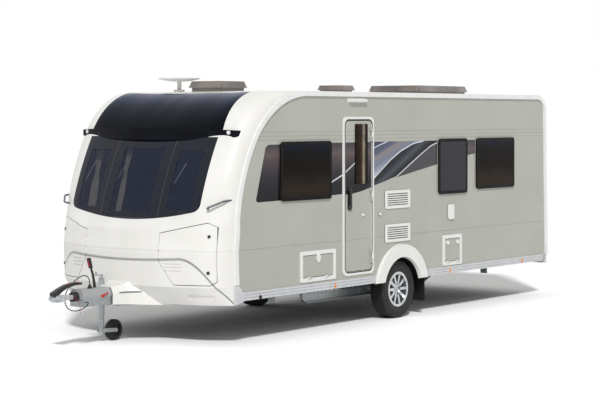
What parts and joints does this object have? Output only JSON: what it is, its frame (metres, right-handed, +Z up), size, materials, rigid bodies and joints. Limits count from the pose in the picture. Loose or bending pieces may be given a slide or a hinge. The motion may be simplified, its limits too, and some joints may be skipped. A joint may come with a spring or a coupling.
{
  "type": "travel caravan",
  "caption": "Single-axle touring caravan with a sandwich-panel body, galvanised chassis, overrun hitch, jockey wheel, opening doors, lockers and corner steadies.",
  "frame": {"origin": "centre of the bounding box's footprint, on the ground under the wheels", "axes": "+X nearside (entrance door), -Y front (hitch end), +Z up"},
  "size_m": [2.318, 7.572, 2.665],
  "materials": {
    "white_gelcoat": "gloss",
    "white_rail": "satin",
    "white_plastic": "satin",
    "grey_wall": "satin",
    "black_glazing": "gloss",
    "gloss_black": "gloss",
    "tinted_pane": "gloss",
    "smoked_dome": "gloss",
    "black_plastic": "satin",
    "grey_plastic": "satin",
    "grey_handle": "satin",
    "floor_board": "matt",
    "amber_lens": "gloss",
    "red_lens": "gloss",
    "tyre": "matt",
    "alloy": "satin",
    "galvanised": "spangled zinc",
    "zinc_plate": "bright zinc",
    "dark_steel": "satin",
    "black_rubber": "matt",
    "lead_rubber": "matt",
    "red_sheath": "satin",
    "interior_wood": "satin",
    "cushion_fabric": "woven",
    "curtain_fabric": "woven"
  },
  "bodies": {
    "caravan": {"arch_trims": "white_gelcoat", "awning_lamp": "white_plastic", "axle": "galvanised", "breakaway_clip": "zinc_plate", "breakaway_wire": "red_sheath", "chassis": "galvanised", "coupling_handle": "black_plastic", "coupling_head": "zinc_plate", "curtains": "curtain_fabric", "cushions": "cushion_fabric", "door_frame": "white_plastic", "drawbar": "galvanised", "drawbar_cover": "grey_plastic", "drawbar_fairing": "white_gelcoat", "edge_rails": "white_rail", "electric_lead": "lead_rubber", "floor_panel": "floor_board", "front_panel": "white_gelcoat", "front_skylight": "black_glazing", "front_visor": "gloss_black", "front_window": "tinted_pane", "furniture": "interior_wood", "grab_handles": "grey_handle", "handbrake_lever": "dark_steel", "hatch_frames": "white_plastic", "jockey_tube": "galvanised", "lead_gland": "black_plastic", "mudflaps": "black_rubber", "overrun_bellows": "black_rubber", "rear_lamps": "red_lens", "rear_panel": "white_gelcoat", "roof_aerial": "white_plastic", "roof_panel": "white_gelcoat", "rooflights": "smoked_dome", "side_markers": "amber_lens", "side_wall_near": "grey_wall", "side_wall_off": "grey_wall", "side_windows": "tinted_pane", "skirts": "white_rail", "wall_fittings": "white_plastic", "wheel_boxes": "black_plastic"},
    "nearside_wheel": {"tyre_near": "tyre", "rim_near": "alloy"},
    "offside_wheel": {"tyre_off": "tyre", "rim_off": "alloy"},
    "entrance_door": {"entrance_door": "grey_wall", "door_window": "tinted_pane", "door_handle": "black_plastic"},
    "locker_door_near": {"locker_door_near": "white_gelcoat"},
    "locker_door_off": {"locker_door_off": "white_gelcoat"},
    "side_locker_door": {"side_locker_door": "grey_wall"},
    "cassette_door": {"cassette_door": "grey_wall"},
    "jockey_stem": {"jockey_stem": "galvanised"},
    "jockey_fork": {"jockey_fork": "galvanised"},
    "jockey_wheel": {"jockey_wheel": "black_rubber"},
    "steady_front_near": {"steady_front_near": "galvanised"},
    "steady_front_off": {"steady_front_off": "galvanised"},
    "steady_rear_near": {"steady_rear_near": "galvanised"},
    "steady_rear_off": {"steady_rear_off": "galvanised"}
  },
  "joints": [
    {"name": "nearside_wheel_spin", "type": "hinge", "parent": "caravan", "child": "nearside_wheel", "pos_m": [0.985, 0.502, 0.319], "axis": [1, 0, 0], "continuous": true},
    {"name": "offside_wheel_spin", "type": "hinge", "parent": "caravan", "child": "offside_wheel", "pos_m": [-0.985, 0.502, 0.319], "axis": [1, 0, 0], "continuous": true},
    {"name": "entrance_door_swing", "type": "hinge", "parent": "caravan", "child": "entrance_door", "pos_m": [1.14, -0.105, 1.4], "axis": [0, 0, 1], "range_deg": [0, 168]},
    {"name": "locker_door_near_swing", "type": "hinge", "parent": "caravan", "child": "locker_door_near", "pos_m": [0.4975, -2.83, 0.9], "axis": [0, 0, -1], "range_deg": [0, 105]},
    {"name": "locker_door_off_swing", "type": "hinge", "parent": "caravan", "child": "locker_door_off", "pos_m": [-0.4975, -2.83, 0.9], "axis": [0, 0, 1], "range_deg": [0, 105]},
    {"name": "side_locker_door_drop", "type": "hinge", "parent": "caravan", "child": "side_locker_door", "pos_m": [1.14, -1.061, 0.5805], "axis": [0, 1, 0], "range_deg": [0, 170]},
    {"name": "cassette_door_drop", "type": "hinge", "parent": "caravan", "child": "cassette_door", "pos_m": [1.14, 1.523, 0.5685], "axis": [0, 1, 0], "range_deg": [0, 170]},
    {"name": "jockey_height", "type": "slide", "parent": "caravan", "child": "jockey_stem", "axis": [0, 0, 1], "range_m": [-0.12, 0.115]},
    {"name": "jockey_swivel", "type": "hinge", "parent": "jockey_stem", "child": "jockey_fork", "pos_m": [-0.14, -2.964, 0.2], "axis": [0, 0, 1], "continuous": true},
    {"name": "jockey_wheel_spin", "type": "hinge", "parent": "jockey_fork", "child": "jockey_wheel", "pos_m": [-0.14, -2.792, 0.105], "axis": [1, 0, 0], "continuous": true},
    {"name": "steady_front_near_drop", "type": "hinge", "parent": "caravan", "child": "steady_front_near", "pos_m": [0.85, -1.878, 0.405], "axis": [-1, 0, 0], "range_deg": [0, 58]},
    {"name": "steady_front_off_drop", "type": "hinge", "parent": "caravan", "child": "steady_front_off", "pos_m": [-0.85, -1.878, 0.405], "axis": [-1, 0, 0], "range_deg": [0, 58]},
    {"name": "steady_rear_near_drop", "type": "hinge", "parent": "caravan", "child": "steady_rear_near", "pos_m": [0.85, 3.062, 0.405], "axis": [1, 0, 0], "range_deg": [0, 58]},
    {"name": "steady_rear_off_drop", "type": "hinge", "parent": "caravan", "child": "steady_rear_off", "pos_m": [-0.85, 3.062, 0.405], "axis": [1, 0, 0], "range_deg": [0, 58]}
  ]
}
